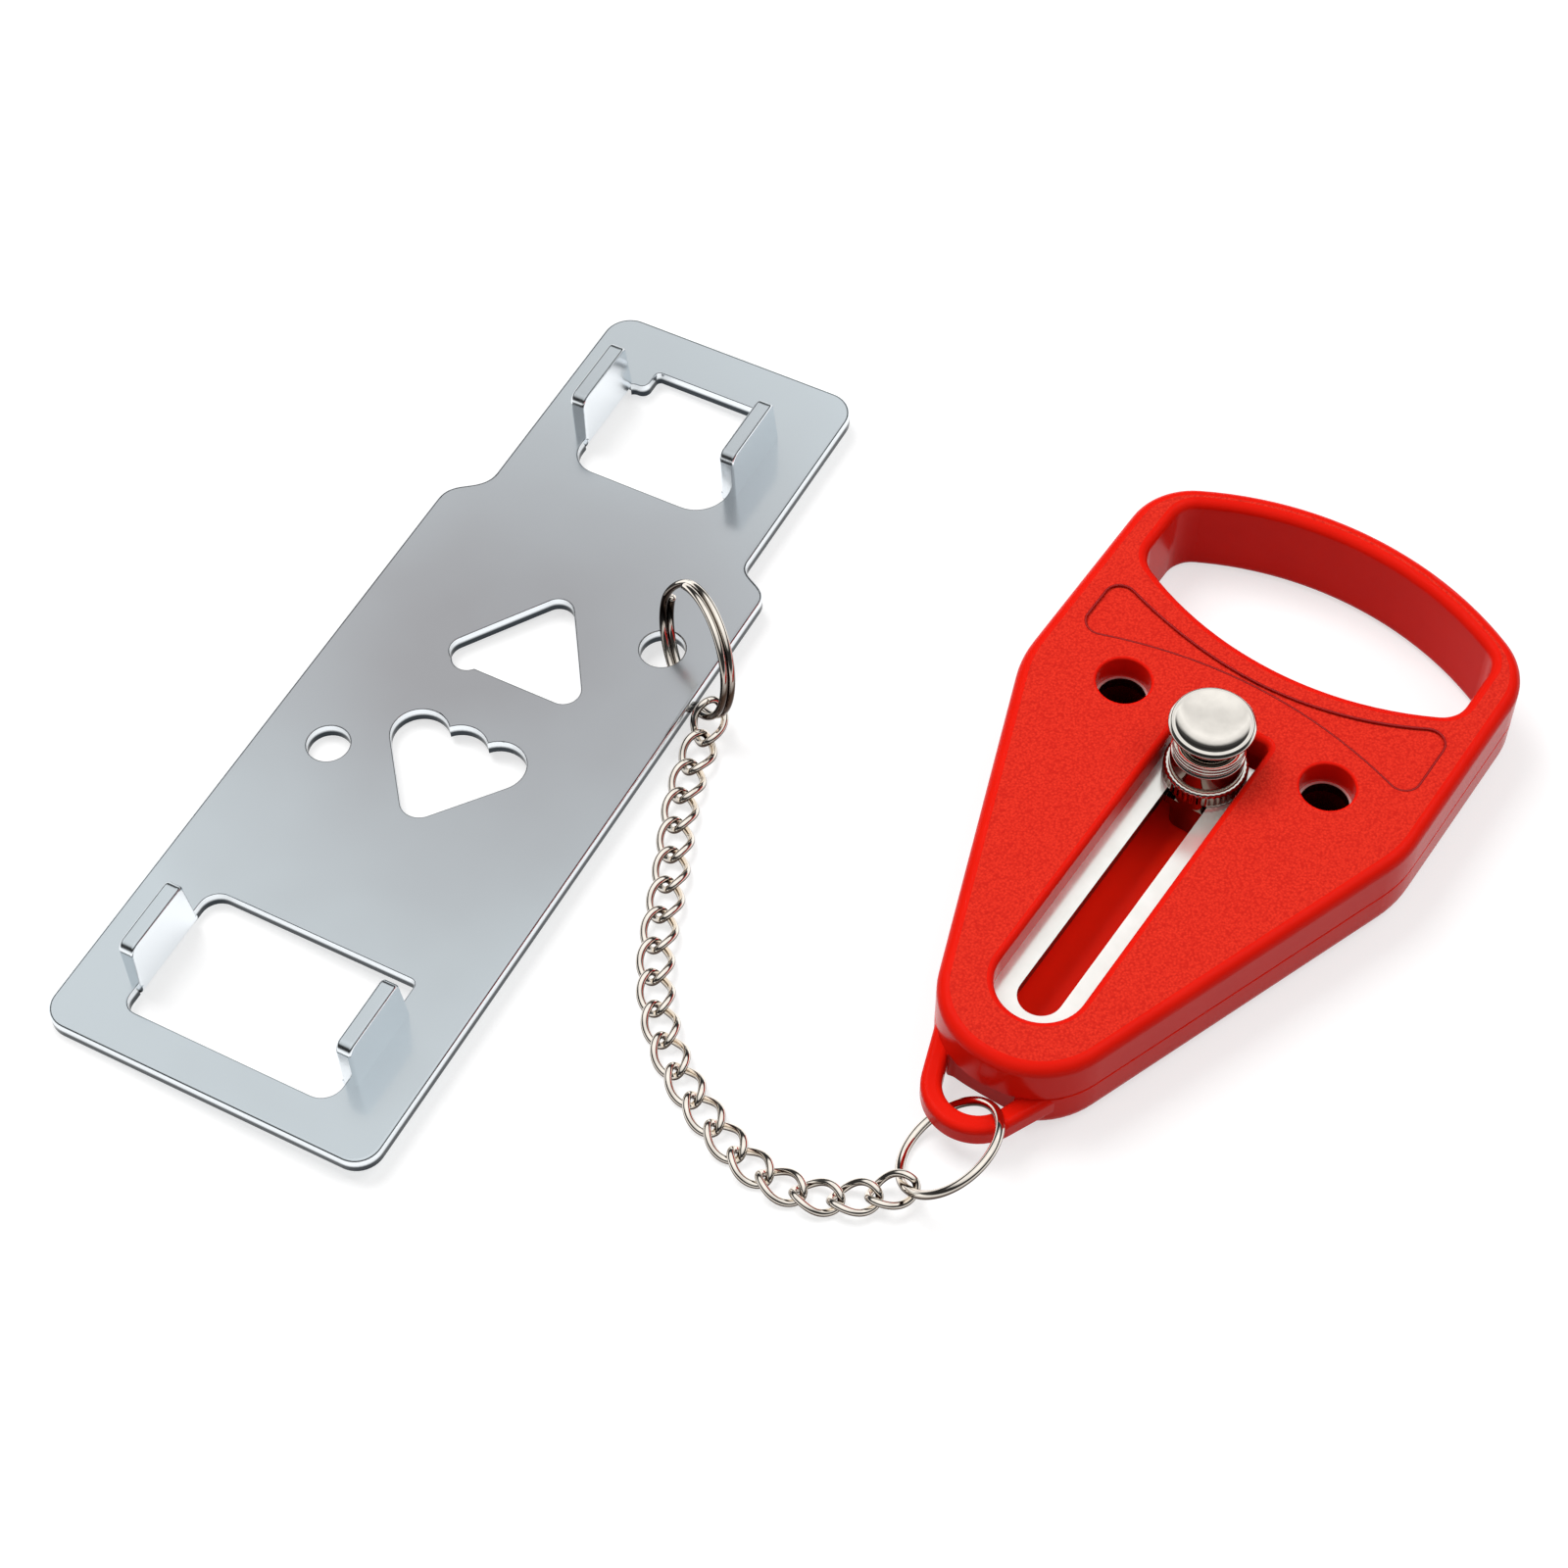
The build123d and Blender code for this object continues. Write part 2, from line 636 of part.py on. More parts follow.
def split_ring_solid(hoop):
    """Two coils of one wire side by side, with a jog from one to the other."""
    half_step = (split_wire + coil_gap) / 2
    sweep = 720 - 2 * (split_jog_turn / 2)
    stations = round(sweep * ring_stations / 360)
    centres, spokes = [], []
    for station in range(stations + 1):
        angle = split_jog_turn / 2 + sweep * station / stations
        share = min(max((angle - 360) / split_jog_turn + 0.5, 0), 1)
        along = half_step * (2 * share**2 * (3 - 2 * share) - 1)
        at = angle + split_jog_angle
        centres.append(hoop.point(at, along=along))
        spokes.append((hoop.point(at, split_wire) - hoop.point(at)).normalized())
    return wire_solid(centres, spokes, [hoop.normal] * (stations + 1), split_wire, closed=False)


def plate_location(hoop):
    """Place of the claw plate: its left edge on the table, its hole round the split ring."""
    turn = Rot(0, 0, plate_heading) * Rot(0, -plate_tilt, 0)
    lean = math.radians(plate_tilt)
    v = lanyard_hole_v + ring_in_hole_v
    u = lanyard_hole_u + ring_in_hole_u
    grip_z = (plate_width / 2 + v) * math.sin(lean) + plate_thickness / 2 * math.cos(lean)
    grip = hoop.point(hoop.angle_at(grip_z, -1))
    moved = turn * Pos(v, u, plate_thickness / 2)
    corner = grip - moved.position
    return Pos(corner.X, corner.Y, corner.Z) * turn


def plate_outline():
    """Plan of the claw plate: a wide half and a narrow half joined by curved steps."""
    wide, narrow = plate_width / 2, plate_neck_width / 2
    left_end = left_step_u + left_step_length
    right_end = right_step_u + right_step_length
    left = Spline([(-wide, left_step_u), (-narrow, left_end)], tangents=[(0, 1), (0, 1)])
    right = Spline([(wide, right_step_u), (narrow, right_end)], tangents=[(0, 1), (0, 1)])
    plan = make_face([
        Line((-wide, 0), (wide, 0)), Line((wide, 0), right @ 0), right,
        Line(right @ 1, (narrow, plate_length)), Line((narrow, plate_length), (-narrow, plate_length)),
        Line((-narrow, plate_length), left @ 1), left, Line(left @ 0, (-wide, 0))])
    plan = rounded(plan, wide_corner_r, lambda p: p.Y < plate_thickness)
    return rounded(plan, narrow_corner_r, lambda p: p.Y > plate_length - plate_thickness)


def wide_gap():
    """Opening at the wide end, each corner with its own rounding."""
    middle = wide_gap_u + wide_gap_length / 2
    plan = Pos(wide_gap_v, middle) * Rectangle(2 * wide_gap_half_width, wide_gap_length)
    right = wide_gap_v + wide_gap_half_width
    left = wide_gap_v - wide_gap_half_width
    far = wide_gap_u + wide_gap_length
    corners = [(left, wide_gap_u, wide_gap_near_left_r), (right, wide_gap_u, wide_gap_near_right_r),
               (left, far, wide_gap_far_left_r), (right, far, wide_gap_far_right_r)]
    return corners_rounded(plan, corners)


def narrow_gap():
    """Opening at the narrow end, with a short tab left in its far left corner."""
    left, right = narrow_gap_v - narrow_gap_half_width, narrow_gap_v + narrow_gap_half_width
    near, far = narrow_gap_u, narrow_gap_u + narrow_gap_length
    tab_v, tab_u = left + tab_width, far - tab_length
    plan = make_face(Polyline((left, near), (right, near), (right, far), (tab_v, far),
                              (tab_v, tab_u), (left, tab_u), close=True))
    corners = [(left, near, narrow_gap_near_left_r), (right, near, narrow_gap_near_right_r),
               (right, far, narrow_gap_far_r), (tab_v, tab_u, tab_width * tab_corner_share),
               (left, tab_u, tab_width * tab_root_share), (tab_v, far, tab_foot_r)]
    return corners_rounded(plan, corners)


def upper_triangle():
    """Triangular cut-out that narrows towards the narrow end."""
    plan = make_face(Polyline((upper_centre_v - upper_half_width, upper_base_u),
                              (upper_centre_v + upper_half_width, upper_base_u),
                              (upper_centre_v, upper_apex_u), close=True))
    plan = fillet(plan.vertices(), upper_r)
    return plan + Pos(bump_v, upper_base_u + bump_r - bump_out) * Circle(bump_r)


def lower_triangle():
    """Triangular cut-out with three lobes along its wide side, the outer two rounding its corners."""
    left, right = lower_centre_v - lower_half_width, lower_centre_v + lower_half_width
    plan = make_face(Polyline((left, lower_base_u), (right, lower_base_u),
                              (lower_centre_v, lower_apex_u), close=True))
    plan = corners_rounded(plan, [(left, lower_base_u, lobe_r), (right, lower_base_u, lobe_r),
                                  (lower_centre_v, lower_apex_u, lower_r)])
    plan -= Pos(lower_centre_v, lower_base_u) * Rectangle(2 * lobe_spread, 2 * lobe_r)
    for index in (-1, 0, 1):
        plan += Pos(lower_centre_v + index * lobe_spread, lower_base_u - lobe_r) * Circle(lobe_r)
    return plan


def claw_foot(near_u, length, wall_v, side):
    """The bent foot of a claw, as thick as the sheet, its lower corner a large rounding."""
    section = Pos(plate_thickness / 2, plate_thickness / 2) * Rectangle(plate_thickness, plate_thickness)
    section = rounded(section, claw_bend_r, lambda p: p.X < TOUCH and p.Y < TOUCH)
    foot = Pos(0, near_u, 0) * extrude(Plane.XZ * section, -length)
    if side < 0:
        foot = mirror(foot, Plane.YZ)
    return Pos(wall_v, 0, 0) * foot


def claw_wall(near_u, length, wall_v, side):
    """The upright wall of a claw, its free edges rounded."""
    far_u, top = near_u + length, plate_thickness + claw_rise
    face = make_face(Polyline((near_u, plate_thickness), (far_u, plate_thickness),
                              (far_u - claw_far_slant, top), (near_u, top), close=True))
    face = rounded(face, claw_near_r, lambda p: p.X < near_u + TOUCH and p.Y > top - TOUCH)
    face = rounded(face, claw_far_r, lambda p: p.X > near_u + length / 2 and p.Y > top - TOUCH)
    wall = extrude(Plane.YZ * face, plate_thickness)
    rims = [e for e in wall.edges() if e.bounding_box().size.X < TOUCH
            and e.center().Z > plate_thickness + TOUCH]
    wall = fillet(rims, claw_edge_r)
    if side < 0:
        wall = mirror(wall, Plane.YZ)
    return Pos(wall_v, 0, 0) * wall


def claw_plate():
    """The flat plate with its openings, holes and four bent-up claws, in its own frame."""
    plan = plate_outline() - wide_gap() - narrow_gap() - upper_triangle() - lower_triangle()
    plan -= Pos(spare_hole_v, spare_hole_u) * Circle(spare_hole_r)
    plan -= Pos(lanyard_hole_v, lanyard_hole_u) * Circle(lanyard_hole_r)
    sheet = extrude(plan, plate_thickness)
    face = sheet.faces().sort_by(Axis.Z)[-1]
    sheet = fillet(face.outer_wire().edges(), plate_edge_r)
    face = sheet.faces().sort_by(Axis.Z)[-1]
    sheet = fillet([e for wire in face.inner_wires() for e in wire.edges()], opening_edge_r)
    rows = [(wide_claw_u, wide_claw_length, wide_claw_shift, wide_claw_half_gap),
            (narrow_claw_u, narrow_claw_length, narrow_claw_shift, narrow_claw_half_gap)]
    for near_u, length, shift, half_gap in rows:
        for side in (-1, 1):
            wall_v = shift + side * half_gap
            slot = Pos(wall_v + side * plate_thickness / 2, near_u + length / 2) * Rectangle(
                plate_thickness, length)
            sheet -= extrude(slot, plate_thickness)
            sheet += claw_foot(near_u, length, wall_v, side)
            sheet += claw_wall(near_u, length, wall_v, side)
    return sheet


def main():
    """Write every piece of the lock as its own file."""
    os.makedirs("parts", exist_ok=True)
    pieces = {
        "handle_top_shell": handle_top_shell(),
        "handle_bottom_shell": handle_bottom_shell(),
        "slot_plate": slot_plate(),
        "slider_block": slider_block(),
        "knob_stud": knob_stud(),
        "clamp_barrel": clamp_barrel(),
        "knurled_ring": knurled_ring(),
    }
    hoop = handle_ring_hoop()
    pieces["handle_ring"] = ring_solid(hoop, ring_wire)
    centres, slopes, rolls = chain_course(hoop)
    for index, centre in enumerate(centres):
        name = f"chain_link_{index + 1:02d}"
        pieces[name] = place_link(centre, link_headings[index], slopes[index], rolls[index])
    split = split_ring_hoop(centres[-1])
    pieces["split_ring"] = split_ring_solid(split)
    pieces["claw_plate"] = plate_location(split) * claw_plate()
    for name, piece in pieces.items():
        export_step(piece, f"parts/{name}.step")


main()
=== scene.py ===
import math

import bmesh
import bpy
from mathutils import Matrix, Vector


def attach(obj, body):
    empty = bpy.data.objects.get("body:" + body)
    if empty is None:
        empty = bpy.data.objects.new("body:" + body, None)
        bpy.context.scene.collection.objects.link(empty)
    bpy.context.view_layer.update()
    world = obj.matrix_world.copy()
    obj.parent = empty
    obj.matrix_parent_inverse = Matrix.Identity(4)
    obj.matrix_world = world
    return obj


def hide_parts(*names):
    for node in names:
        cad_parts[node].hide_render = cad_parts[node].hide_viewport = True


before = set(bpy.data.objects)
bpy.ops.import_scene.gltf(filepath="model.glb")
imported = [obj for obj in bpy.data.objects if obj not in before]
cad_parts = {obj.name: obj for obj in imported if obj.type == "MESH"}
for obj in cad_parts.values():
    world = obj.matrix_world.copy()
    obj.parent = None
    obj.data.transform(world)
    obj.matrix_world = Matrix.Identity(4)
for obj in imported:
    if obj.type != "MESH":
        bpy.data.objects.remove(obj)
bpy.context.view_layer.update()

MM = 0.001

# Ring through the lug, as in the part
ring_r = 6.4 * MM
ring_wire = 1.1 * MM
ring_lean = 38.0
ring_heading = 188.6
ring_link_angle = 326.0
ring_play = 0.28 * MM
ring_centre_xy = (0.818 * MM, -59.447 * MM)

# Twisted links
link_wire = 0.9 * MM
link_length = 5.4 * MM
link_width = 3.6 * MM
link_twist = 45.0
link_pitch = 4.16 * MM
link_headings = [226, 217, 202, 185, 170, 161, 157, 152, 144, 136,
                 129, 122, 116, 115, 117, 119, 116, 110, 105, 105]
first_link_roll = -7.0
second_slope_share = 0.7
last_link_slope = 28.0
next_to_last_slope = 5.0

# Split ring
split_r = 8.0 * MM
split_wire = 0.9 * MM
coil_gap = 0.05 * MM
split_lean = 80.0
split_heading = 240.0
split_play = 1.06 * MM
split_jog_turn = 50.0
split_jog_at = 150.0

# Camera at the photograph's place, with its directions and angle of view
camera_place = (92.97 * MM, -228.76 * MM, 347.57 * MM)
camera_right = (0.8303, 0.5575, 0.0)
camera_forward = (-0.3194, 0.4757, -0.8195)
camera_lens = 83.14
camera_sensor = 36.0
camera_near = 10.0 * MM

# Surroundings: the direction of their far side, and grey levels by height in reflections
far_side = (-0.5574, 0.8303, 0.0)
far_levels = [(0.0, 0.9), (0.07, 0.8), (0.14, 0.06), (0.40, 0.02), (0.54, 0.06), (0.64, 0.75),
              (0.74, 1.0), (0.82, 0.78), (0.90, 0.9), (1.0, 1.0)]
near_levels = [(0.0, 0.9), (0.08, 0.5), (0.18, 0.03), (0.62, 0.02), (0.74, 0.6), (1.0, 1.0)]
near_until = -0.35
far_from = 0.15
world_level = 0.40
seen_level = 1.0
shine_level = 1.15
floor_reach = 3000.0 * MM
floor_grey = (0.45, 0.45, 0.45, 1)
floor_glow = 0.62
light_target = (-20.0 * MM, -20.0 * MM, 0.0)

# Knob, turned about an upright axis
knob_y = -4.0 * MM
shank_r = 1.9 * MM
tail_r = 1.5 * MM
tail_bottom_z = 4.4 * MM
block_top_z = 8.4 * MM
flange_z = 8.7 * MM
flange_r = 4.9 * MM
flange_height = 2.3 * MM
flange_chamfer = 0.3 * MM
bead_depth = 0.16 * MM
bead_count = 44
bead_edge_share = 0.35
bead_inner_r = 3.84 * MM
spigot_r = 3.2 * MM
bore_r = 2.0 * MM
barrel_r = 4.3 * MM
barrel_height = 2.8 * MM
barrel_edge = 0.25 * MM
collar_r = 4.15 * MM
collar_height = 1.5 * MM
collar_groove = 0.22 * MM
collar_groove_depth = 0.12 * MM
groove_places = (0.12, 0.48)
groove_floor_start = 1.2 * collar_groove
groove_floor_end = 1.5 * collar_groove
neck_r = 3.0 * MM
neck_height = 1.2 * MM
turn_gap = 0.1 * MM
cone_height = 1.6 * MM
head_r = 5.0 * MM
head_lip = 0.3 * MM
rim_height = 0.4 * MM
rim_r = 4.65 * MM
dish_rim_r = 4.3 * MM
dish_depth = 0.45 * MM
dish_shares = (0.95, 0.9, 0.8, 0.7, 0.55, 0.3)
dish_bend = 4
edge_r = 0.12 * MM

# Places on the handle that its painted shade and painted light, and the panel's line, follow
panel_floor_z = 11.7 * MM
panel_floor_play = 0.01 * MM
panel_line_r = 0.17 * MM
panel_line_lift = 0.2 * MM
hole_x = 13.4 * MM
hole_reach = 3.2 * MM
hole_rim_z = 8.25 * MM
trough_end_y = -48.0 * MM

# Middle of the claw plate, where its painted sheen is darkest, and from where to where it grows paler
painted_sheen_middle = (-80.0 * MM, -28.0 * MM, 0.0)
painted_sheen_core = 8.7 * MM
painted_sheen_reach = 58.0 * MM

# Claw plate's upward direction, and heights of its underside, of the painted shade at the foot of its cut
# edges and of the painted highlight above it
plate_up = (-0.04343, -0.00405, 0.99905)
plate_low = 4.457 * MM
painted_shade_height = 0.75 * MM
painted_highlight_height = 1.15 * MM

# Depths of the finest relief on metal and on the grained top
hairline = 0.003 * MM
brushing = 0.002 * MM
ripple = 0.01 * MM
grain_depth = 0.1 * MM

# How finely the smooth wires and turned pieces are drawn
wire_sides = 20
link_stations = 64
rest_height_stations = 32
ring_stations = 120
turned_sides = 128
sides_per_bead = 8
band_steps = 4
small_bend = 0.3 * MM
bend_share = 0.45
small_bend_steps = 4
large_bend_steps = 8


def direction(heading, slope=0.0):
    """Unit vector at a heading in the table plane, raised by a slope, in degrees."""
    level = math.cos(math.radians(slope))
    return Vector((level * math.cos(math.radians(heading)), level * math.sin(math.radians(heading)),
                   math.sin(math.radians(slope))))


class Hoop:
    """A leaning circle that stands on the table."""

    def __init__(self, radius, half_band, lean, heading):
        self.radius = radius
        tilt = math.radians(lean)
        self.normal = direction(heading) * math.sin(tilt) + Vector((0, 0, math.cos(tilt)))
        self.level = direction(heading + 90)
        self.rise = self.normal.cross(self.level)
        self.height = radius * self.rise.z + half_band
        self.centre = Vector((0, 0, self.height))

    def angle_at(self, height, side):
        """Angle of the point at a height, on the side of +1 or -1 along the level axis."""
        angle = math.degrees(math.asin((height - self.height) / (self.radius * self.rise.z)))
        return angle if side > 0 else 180 - angle

    def spoke(self, angle):
        """Direction from the centre to the point at an angle."""
        turn = math.radians(angle)
        return self.level * math.cos(turn) + self.rise * math.sin(turn)

    def point(self, angle, along=0.0):
        """Point of the circle at an angle, moved along the hoop's axis."""
        return self.centre + self.spoke(angle) * self.radius + self.normal * along

    def stand_on(self, point, angle):
        """Move the hoop level so that its point at an angle lies over the given one."""
        shift = point - self.point(angle)
        self.centre = self.centre + Vector((shift.x, shift.y, 0))


def new_piece(name, mesh_tools, finish, body, replaced=()):
    """A named, smooth-shaded object from a bmesh, riding on a body."""
    mesh = bpy.data.meshes.new(name)
    bmesh.ops.recalc_face_normals(mesh_tools, faces=mesh_tools.faces)
    for face in mesh_tools.faces:
        face.smooth = True
    mesh_tools.to_mesh(mesh)
    mesh_tools.free()
    piece = bpy.data.objects.new(name, mesh)
    bpy.context.scene.collection.objects.link(piece)
    mesh.materials.append(finish)
    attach(piece, body)
    if replaced:
        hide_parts(*replaced)


def tube(made, centres, spokes, axes, wire, closed=True):
    """Round wire along a centre line, into a bmesh."""
    rings = []
    for centre, spoke, axis in zip(centres, spokes, axes):
        ring = []
        for side in range(wire_sides):
            turn = 2 * math.pi * side / wire_sides
            outward = spoke * math.cos(turn) + axis * math.sin(turn)
            ring.append(made.verts.new(centre + outward * wire / 2))
        rings.append(ring)
    for index in range(len(rings) if closed else len(rings) - 1):
        here, after = rings[index], rings[(index + 1) % len(rings)]
        for side in range(wire_sides):
            across = (side + 1) % wire_sides
            made.faces.new((here[side], after[side], after[across], here[across]))
    if not closed:
        made.faces.new(rings[0])
        made.faces.new(rings[-1])


def link_point(turn, grow=0.0):
    """Point of a link's centre line: an oval twisted along its length."""
    half = link_width / 2 + grow
    lean = math.radians(link_twist) * math.cos(turn)
    return Vector(((link_length / 2 + grow) * math.cos(turn), half * math.sin(turn) * math.cos(lean),
                   half * math.sin(turn) * math.sin(lean)))


def chain_link():
    """One smooth twisted link at the origin, long along X."""
    made = bmesh.new()
    centres, spokes, axes = [], [], []
    step = math.pi / link_stations
    for station in range(link_stations):
        turn = 2 * math.pi * station / link_stations
        tangent = (link_point(turn + step) - link_point(turn - step)).normalized()
        outward = link_point(turn, link_wire) - link_point(turn)
        spoke = (outward - tangent * outward.dot(tangent)).normalized()
        centres.append(link_point(turn))
        spokes.append(spoke)
        axes.append(tangent.cross(spoke))
    tube(made, centres, spokes, axes, link_wire)
    return made


def link_rest_height():
    """Height of a lying link's middle above the table."""
    half = rest_height_stations // 2
    turns = [math.pi * step / rest_height_stations for step in range(half)]
    return max(link_point(turn).z for turn in turns) + link_wire / 2


def chain_course(hoop):
    """Centres, slopes and rolls of the links from the handle's ring to the split ring."""
    count = len(link_headings)
    seat = link_length / 2 - link_wire / 2 - ring_wire / 2 - ring_play
    start = hoop.point(ring_link_angle)
    fall = start.z - link_rest_height()
    run = seat + link_pitch / 2 + link_pitch * second_slope_share
    slopes = [0.0] * count
    slopes[0] = -math.degrees(math.asin(fall / run))
    slopes[1] = -math.degrees(math.asin(second_slope_share * fall / run))
    slopes[-2] = next_to_last_slope
    slopes[-1] = last_link_slope
    rolls = [0.0] * count
    rolls[0] = first_link_roll
    centres = [start + direction(link_headings[0], slopes[0]) * seat]
    for index in range(1, count):
        before = direction(link_headings[index - 1], slopes[index - 1])
        after = direction(link_headings[index], slopes[index])
        centres.append(centres[-1] + (before + after) * (link_pitch / 2))
    return centres, slopes, rolls


def link_matrix(centre, heading, slope, roll):
    """Place of a link with its centre, heading, slope and roll."""
    along = direction(heading, slope)
    across = direction(heading + 90)
    up = along.cross(across)
    turn = Matrix((along, across, up)).transposed().to_4x4()
    return Matrix.Translation(centre) @ turn @ Matrix.Rotation(math.radians(roll), 4, "X")


def place(made, matrix):
    """Move a bmesh by a matrix."""
    bmesh.ops.transform(made, matrix=matrix, verts=made.verts)


class Nodes:
    """A material being built: its node tree, and shorthand for adding and joining nodes."""

    def __init__(self, name):
        self.material = bpy.data.materials.new(name)
        self.material.use_nodes = True
        self.tree = self.material.node_tree
        self.shader = self.tree.nodes["Principled BSDF"]

    def add(self, kind, inputs=None, **settings):
        """A node of a kind, with its settings and its unlinked or linked inputs."""
        node = self.tree.nodes.new(kind)
        for key, value in settings.items():
            setattr(node, key, value)
        for key, value in (inputs or {}).items():
            self.feed(node, key, value)
        return node

    def feed(self, node, key, value):
        """Set an input to a value, or join it to another node's output."""
        socket = node.inputs[key]
        if isinstance(value, bpy.types.NodeSocket):
            self.tree.links.new(value, socket)
        else:
            socket.default_value = value

    def set(self, **inputs):
        """Inputs of the shader, by name with _ for a space."""
        for key, value in inputs.items():
            self.feed(self.shader, key.replace("_", " "), value)

    def place(self):
        """Object coordinates in metres."""
        return self.add("ShaderNodeTexCoord").outputs["Object"]

    def rise(self):
        """How far a face looks up: one on a level face, zero on an upright one."""
        normal = self.add("ShaderNodeNewGeometry").outputs["Normal"]
        return self.math("ABSOLUTE", self.add("ShaderNodeSeparateXYZ", {"Vector": normal}).outputs["Z"])

    def measure(self, operation, other):
        """Distance to a point, or dot product with a direction, of the object coordinates."""
        inputs = {0: self.place(), 1: other}
        return self.add("ShaderNodeVectorMath", inputs, operation=operation).outputs["Value"]

    def noise(self, scale, detail=3.0, vector=None):
        """Noise of a number of cells per metre."""
        return self.add("ShaderNodeTexNoise", {"Scale": scale, "Detail": detail, "Roughness": 0.5,
                                               "Vector": vector or self.place()}).outputs["Fac"]

    def stretched(self, factors, turn=0.0):
        """Object coordinates turned about Z and scaled by factors."""
        return self.add("ShaderNodeMapping", {"Vector": self.place(), "Rotation": (0, 0, turn),
                                              "Scale": factors}).outputs["Vector"]

    def span(self, value, low, high, out_low=0.0, out_high=1.0):
        """A value's range mapped to another."""
        return self.add("ShaderNodeMapRange", {"Value": value, "From Min": low, "From Max": high,
                                               "To Min": out_low, "To Max": out_high}).outputs["Result"]

    def blend(self, share, one, other):
        """Colour between two, by a share."""
        node = self.add("ShaderNodeMix", data_type="RGBA")
        self.feed(node, 0, share)
        self.feed(node, 6, one)
        self.feed(node, 7, other)
        return node.outputs[2]

    def math(self, operation, one, other=0.0):
        """Sum, product or other operation on two numbers."""
        node = self.add("ShaderNodeMath", operation=operation)
        self.feed(node, 0, one)
        self.feed(node, 1, other)
        return node.outputs[0]

    def bump(self, height, distance, strength=1.0, under=None):
        """Bump of a height map, over another if given."""
        inputs = {"Height": height, "Distance": distance, "Strength": strength}
        if under:
            inputs["Normal"] = under
        return self.add("ShaderNodeBump", inputs).outputs["Normal"]


def colour(red, green, blue):
    """Linear colour from its 8-bit display values."""
    def linear(value):
        share = value / 255
        return share / 12.92 if share <= 0.04045 else ((share + 0.055) / 1.055) ** 2.4
    return (linear(red), linear(green), linear(blue), 1.0)


def zinc_finish():
    """Zinc-plated steel: a satin mirror with fine hairlines, its painted sheen darker in its middle, with
    painted shade at the foot of its cut edges and painted highlight above it and on the claws.
    """
    made = Nodes("zinc_plate")
    clouds = made.noise(28, 3)
    far = made.measure("DISTANCE", painted_sheen_middle)
    painted_sheen_share = made.math("ADD", made.span(far, painted_sheen_core, painted_sheen_reach), made.span(clouds, 0.3, 0.7, -0.15, 0.15))
    # Upright faces get painted shade at the foot of the cut edges, and painted highlight above it and on the
    # claws
    upright = made.span(made.rise(), 0.85, 0.35)
    height = made.math("SUBTRACT", made.measure("DOT_PRODUCT", plate_up), plate_low)
    side = made.blend(made.span(height, painted_shade_height, painted_highlight_height), colour(52, 58, 63), colour(238, 243, 247))
    # Painted sheen: darker round the plate's middle, paler towards its edges
    sheet_with_painted_light = made.blend(painted_sheen_share, colour(164, 165, 168), colour(205, 214, 219))
    hairs = made.noise(1.0, 2, made.stretched((9000, 260, 400), 0.4))
    dots = made.noise(5200, 2)
    made.set(Base_Color=made.blend(upright, sheet_with_painted_light, side),
             Metallic=1.0, Roughness=made.span(clouds, 0.3, 0.7, 0.17, 0.22))
    made.set(Normal=made.bump(dots, hairline, 0.3, made.bump(hairs, hairline, 0.3)))
    return made.material


def painted_hole_shade(made):
    """Share that is one inside both round holes of the handle, where painted shade goes."""
    parts = made.add("ShaderNodeSeparateXYZ", {"Vector": made.place()}).outputs
    across = made.math("SUBTRACT", made.math("ABSOLUTE", parts["X"]), hole_x)
    reach = made.math("SQRT", made.math("ADD", made.math("MULTIPLY", across, across),
                                        made.math("MULTIPLY", parts["Y"], parts["Y"])))
    return made.math("MULTIPLY", made.math("LESS_THAN", reach, hole_reach),
                     made.math("LESS_THAN", parts["Z"], hole_rim_z))


def red_finish(name, grain):
    """Red moulded plastic with painted shade down its round holes; where grained, with a fine leathery grain
    on top.
    """
    made = Nodes(name)
    clouds = made.noise(120, 3)
    skin = made.blend(made.span(clouds, 0.3, 0.7), colour(222, 24, 11), colour(228, 28, 14))
    made.set(Roughness=0.2, IOR=1.5, Specular_IOR_Level=0.05)
    if not grain:
        # Painted light on the level faces of the trough's floor
        along = made.add("ShaderNodeSeparateXYZ", {"Vector": made.place()}).outputs["Y"]
        floor = made.math("MULTIPLY", made.span(made.rise(), 0.5, 0.9),
                          made.math("GREATER_THAN", along, trough_end_y))
        floor_painted_light = made.blend(floor, skin, colour(252, 40, 20))
        # Painted shade down the round holes
        made.set(Base_Color=made.blend(painted_hole_shade(made), floor_painted_light, colour(70, 2, 2)))
        return made.material
    top = made.span(made.rise(), 0.9990, 0.9999)
    pits = made.add("ShaderNodeTexVoronoi", {"Scale": 3400.0, "Vector": made.place(), "Randomness": 0.9},
                    feature="F1").outputs["Distance"]
    warp = made.noise(3000, 3)
    grainy = made.math("ADD", made.math("MULTIPLY", pits, 0.8), made.math("MULTIPLY", warp, 0.9))
    mottled = made.blend(made.span(grainy, 0.55, 1.1), colour(231, 53, 36), colour(202, 36, 26))
    made.set(Base_Color=made.blend(top, skin, mottled),
             Normal=made.bump(made.math("MULTIPLY", grainy, top), grain_depth, 0.9),
             Roughness=made.span(top, 0.0, 1.0, 0.2, 0.45))
    return made.material


def line_finish():
    """Glossy red of the fine line round the panel, deep red as painted shade in the panel's step."""
    made = Nodes("panel_shade_line")
    clouds = made.noise(300, 2)
    made.set(Base_Color=made.blend(clouds, colour(140, 6, 3), colour(158, 9, 5)), Roughness=0.12,
             Specular_IOR_Level=0.35)
    return made.material


